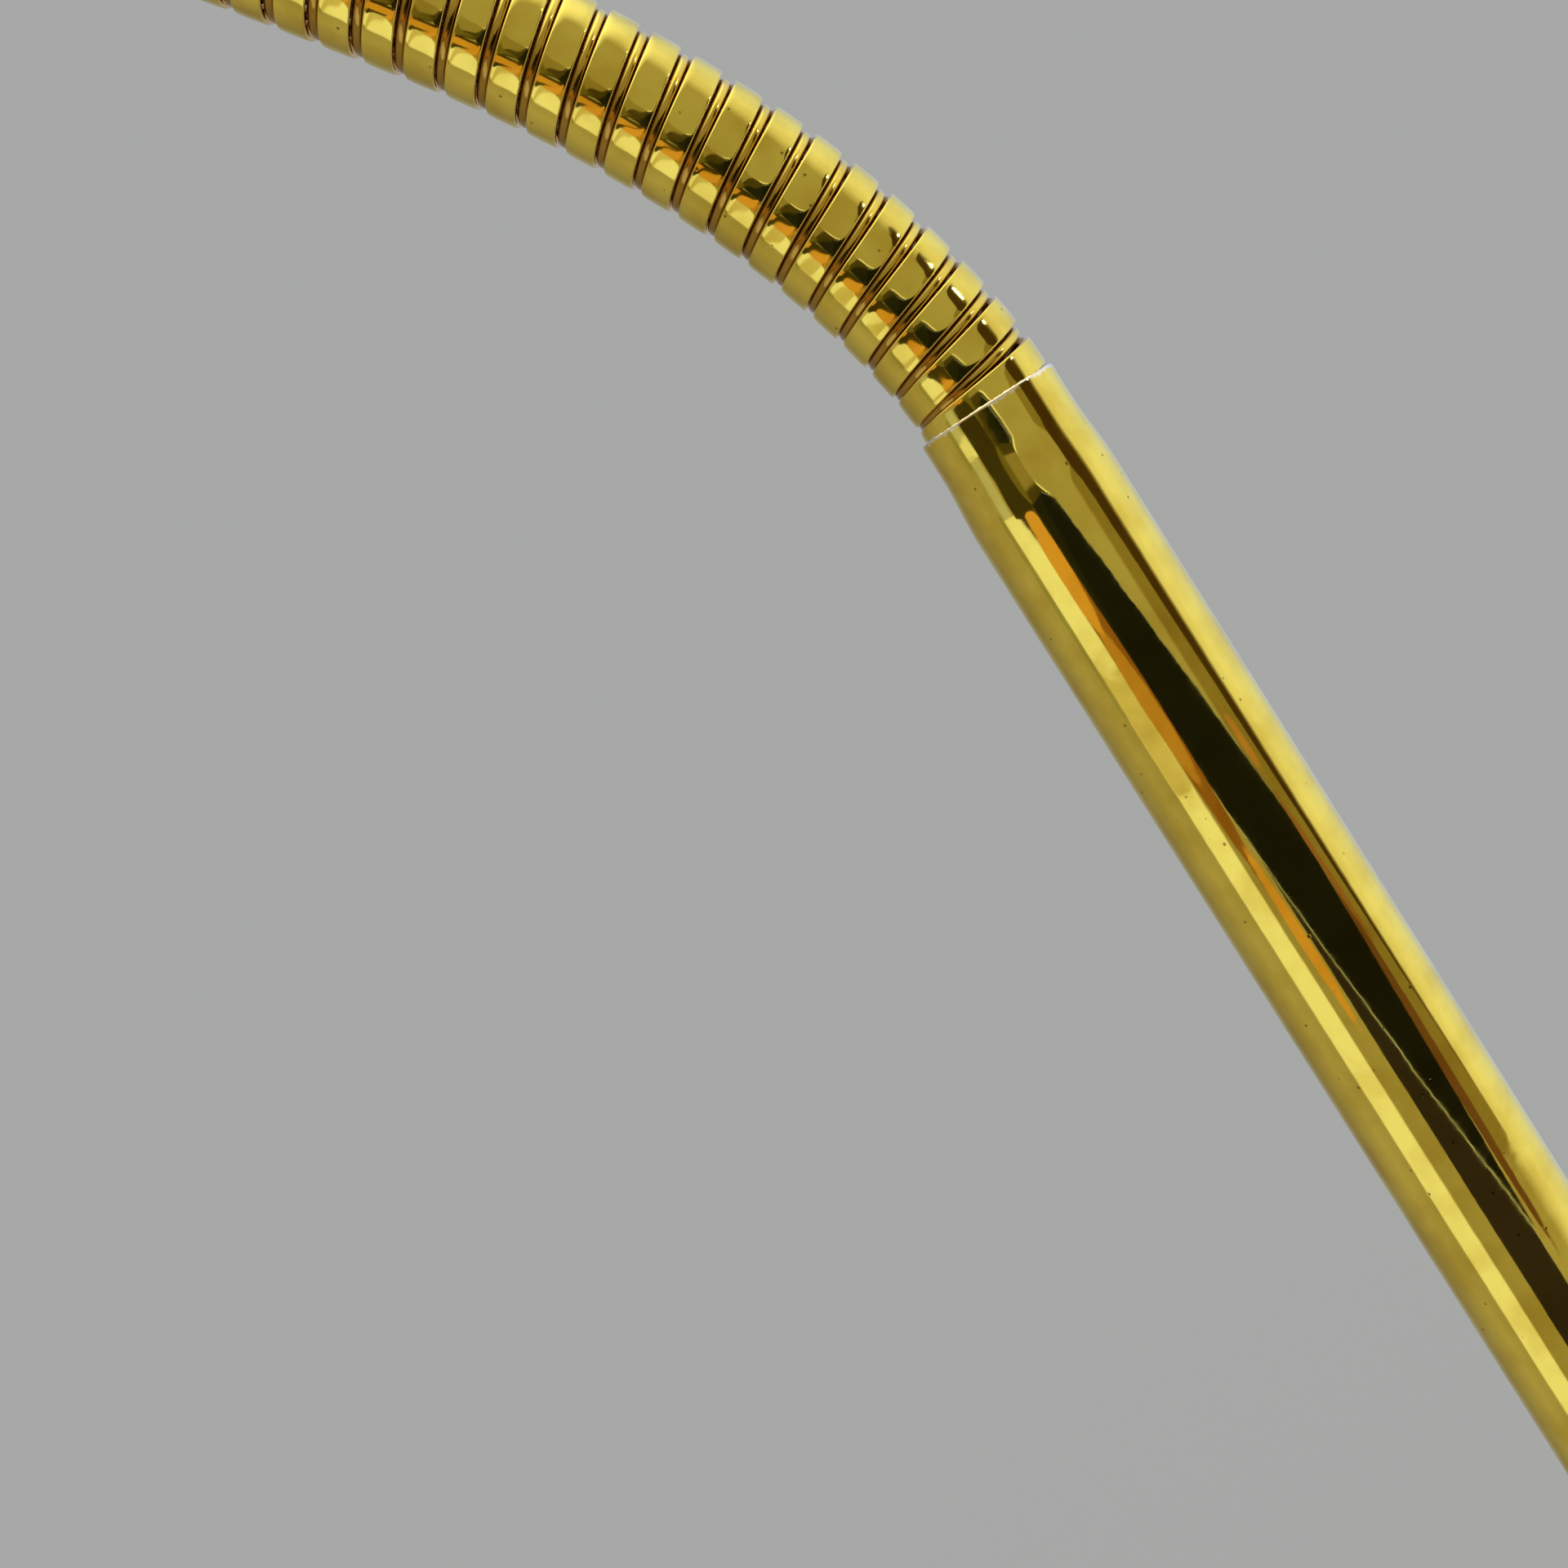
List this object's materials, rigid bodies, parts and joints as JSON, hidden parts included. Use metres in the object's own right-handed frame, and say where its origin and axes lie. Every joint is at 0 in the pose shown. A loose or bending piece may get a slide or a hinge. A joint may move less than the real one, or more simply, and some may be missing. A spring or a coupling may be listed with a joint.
{
  "type": "gooseneck arm",
  "caption": "Flexible gooseneck arm: straight polished brass tube with a wound self-holding neck, tapped foot and threaded tip stud.",
  "frame": {"origin": "centre of the mouth of the tapped hole in the foot of the stem", "axes": "+Z along the stem towards the neck; the neck leans towards -X in the XZ plane"},
  "size_m": [0.0997, 0.016, 0.2872],
  "materials": {
    "tube_brass": "polished and lacquered",
    "neck_wrap_brass": "polished and lacquered",
    "neck_spring_brass": "drawn wire, lacquered",
    "fitting_brass": "turned and polished",
    "plug_brass": "plain turned",
    "washer_steel": "zinc plated"
  },
  "bodies": {
    "stem": {"stem_tube": "tube_brass", "stem_base_bush": "fitting_brass", "neck_root_plug": "plug_brass", "neck_root_wrap": "neck_wrap_brass", "neck_root_spring": "neck_spring_brass"},
    "link_01": {"neck_wrap_01": "neck_wrap_brass", "neck_spring_01": "neck_spring_brass"},
    "link_02": {"neck_wrap_02": "neck_wrap_brass", "neck_spring_02": "neck_spring_brass"},
    "link_03": {"neck_wrap_03": "neck_wrap_brass", "neck_spring_03": "neck_spring_brass"},
    "link_04": {"neck_wrap_04": "neck_wrap_brass", "neck_spring_04": "neck_spring_brass"},
    "link_05": {"neck_wrap_05": "neck_wrap_brass", "neck_spring_05": "neck_spring_brass"},
    "link_06": {"neck_wrap_06": "neck_wrap_brass", "neck_spring_06": "neck_spring_brass"},
    "link_07": {"neck_wrap_07": "neck_wrap_brass", "neck_spring_07": "neck_spring_brass"},
    "link_08": {"neck_wrap_08": "neck_wrap_brass", "neck_spring_08": "neck_spring_brass"},
    "link_09": {"neck_wrap_09": "neck_wrap_brass", "neck_spring_09": "neck_spring_brass"},
    "link_10": {"neck_wrap_10": "neck_wrap_brass", "neck_spring_10": "neck_spring_brass"},
    "link_11": {"neck_wrap_11": "neck_wrap_brass", "neck_spring_11": "neck_spring_brass"},
    "link_12": {"neck_wrap_12": "neck_wrap_brass", "neck_spring_12": "neck_spring_brass"},
    "link_13": {"neck_wrap_13": "neck_wrap_brass", "neck_spring_13": "neck_spring_brass"},
    "link_14": {"neck_wrap_14": "neck_wrap_brass", "neck_spring_14": "neck_spring_brass"},
    "link_15": {"neck_wrap_15": "neck_wrap_brass", "neck_spring_15": "neck_spring_brass"},
    "link_16": {"neck_wrap_16": "neck_wrap_brass", "neck_spring_16": "neck_spring_brass"},
    "link_17": {"neck_wrap_17": "neck_wrap_brass", "neck_spring_17": "neck_spring_brass"},
    "link_18": {"neck_wrap_18": "neck_wrap_brass", "neck_spring_18": "neck_spring_brass"},
    "link_19": {"neck_wrap_19": "neck_wrap_brass", "neck_spring_19": "neck_spring_brass"},
    "link_20": {"neck_wrap_20": "neck_wrap_brass", "neck_spring_20": "neck_spring_brass", "neck_tip_plug": "plug_brass", "tip_ferrule": "fitting_brass", "tip_stud": "fitting_brass", "tip_tooth_washer": "washer_steel", "tip_lock_nut": "fitting_brass"}
  },
  "joints": [
    {"name": "bend_root", "type": "hinge", "parent": "stem", "child": "link_01", "pos_m": [0, 0, 0.16216], "axis": [0, -1, 0], "range_deg": [-18.95, 1.05]},
    {"name": "bend_lower", "type": "hinge", "parent": "link_01", "child": "link_02", "pos_m": [-0.00102, 0, 0.16866], "axis": [0, -1, 0], "range_deg": [-15.91, 4.09]},
    {"name": "bend_03", "type": "hinge", "parent": "link_02", "child": "link_03", "pos_m": [-0.00271, 0, 0.17502], "axis": [0, -1, 0], "range_deg": [-13.24, 3.44]},
    {"name": "sway_lower", "type": "hinge", "parent": "link_03", "child": "link_04", "pos_m": [-0.00493, 0, 0.18121], "axis": [0.9088, 0, 0.4172], "range_deg": [-7.5, 7.5]},
    {"name": "bend_05", "type": "hinge", "parent": "link_04", "child": "link_05", "pos_m": [-0.00768, 0, 0.18719], "axis": [0, -1, 0], "range_deg": [-9.07, 2.37]},
    {"name": "bend_06", "type": "hinge", "parent": "link_05", "child": "link_06", "pos_m": [-0.01077, 0, 0.193], "axis": [0, -1, 0], "range_deg": [-8.21, 2.15]},
    {"name": "sway_07", "type": "hinge", "parent": "link_06", "child": "link_07", "pos_m": [-0.01416, 0, 0.19864], "axis": [0.8284, 0, 0.5601], "range_deg": [-7.55, 7.55]},
    {"name": "bend_middle", "type": "hinge", "parent": "link_07", "child": "link_08", "pos_m": [-0.01785, 0, 0.20409], "axis": [0, -1, 0], "range_deg": [-10.7, 7.7]},
    {"name": "bend_09", "type": "hinge", "parent": "link_08", "child": "link_09", "pos_m": [-0.02175, 0, 0.20939], "axis": [0, -1, 0], "range_deg": [-10.75, 7.75]},
    {"name": "sway_10", "type": "hinge", "parent": "link_09", "child": "link_10", "pos_m": [-0.02572, 0, 0.21464], "axis": [0.7897, 0, 0.6135], "range_deg": [-7.55, 7.55]},
    {"name": "bend_11", "type": "hinge", "parent": "link_10", "child": "link_11", "pos_m": [-0.02975, 0, 0.21983], "axis": [0, -1, 0], "range_deg": [-10.75, 7.75]},
    {"name": "bend_12", "type": "hinge", "parent": "link_11", "child": "link_12", "pos_m": [-0.03386, 0, 0.22498], "axis": [0, -1, 0], "range_deg": [-10.75, 7.75]},
    {"name": "sway_upper", "type": "hinge", "parent": "link_12", "child": "link_13", "pos_m": [-0.03803, 0, 0.23007], "axis": [0.765, 0, 0.6441], "range_deg": [-7.5, 7.5]},
    {"name": "bend_upper", "type": "hinge", "parent": "link_13", "child": "link_14", "pos_m": [-0.04227, 0, 0.2351], "axis": [0, -1, 0], "range_deg": [-10.7, 9.2]},
    {"name": "bend_15", "type": "hinge", "parent": "link_14", "child": "link_15", "pos_m": [-0.04657, 0, 0.24008], "axis": [0, -1, 0], "range_deg": [-10.75, 9.25]},
    {"name": "sway_16", "type": "hinge", "parent": "link_15", "child": "link_16", "pos_m": [-0.05095, 0, 0.24499], "axis": [0.7377, 0, 0.6751], "range_deg": [-7.55, 7.55]},
    {"name": "bend_17", "type": "hinge", "parent": "link_16", "child": "link_17", "pos_m": [-0.05539, 0, 0.24985], "axis": [0, -1, 0], "range_deg": [-10.75, 9.25]},
    {"name": "bend_18", "type": "hinge", "parent": "link_17", "child": "link_18", "pos_m": [-0.0599, 0, 0.25464], "axis": [0, -1, 0], "range_deg": [-10.75, 9.25]},
    {"name": "sway_19", "type": "hinge", "parent": "link_18", "child": "link_19", "pos_m": [-0.06448, 0, 0.25937], "axis": [0.7088, 0, 0.7054], "range_deg": [-7.55, 7.55]},
    {"name": "bend_20", "type": "hinge", "parent": "link_19", "child": "link_20", "pos_m": [-0.06912, 0, 0.26403], "axis": [0, -1, 0], "range_deg": [-10.75, 9.25]}
  ],
  "couplings": [
    {"joint": "bend_03", "follows": "bend_lower", "ratio": 0.8287},
    {"joint": "bend_05", "follows": "bend_lower", "ratio": 0.5665},
    {"joint": "bend_06", "follows": "bend_lower", "ratio": 0.5122},
    {"joint": "sway_07", "follows": "sway_lower", "ratio": 1},
    {"joint": "bend_09", "follows": "bend_middle", "ratio": 1},
    {"joint": "sway_10", "follows": "sway_lower", "ratio": 1},
    {"joint": "bend_11", "follows": "bend_middle", "ratio": 1},
    {"joint": "bend_12", "follows": "bend_middle", "ratio": 1},
    {"joint": "bend_15", "follows": "bend_upper", "ratio": 1},
    {"joint": "sway_16", "follows": "sway_upper", "ratio": 1},
    {"joint": "bend_17", "follows": "bend_upper", "ratio": 1},
    {"joint": "bend_18", "follows": "bend_upper", "ratio": 1},
    {"joint": "sway_19", "follows": "sway_upper", "ratio": 1},
    {"joint": "bend_20", "follows": "bend_upper", "ratio": 1}
  ]
}
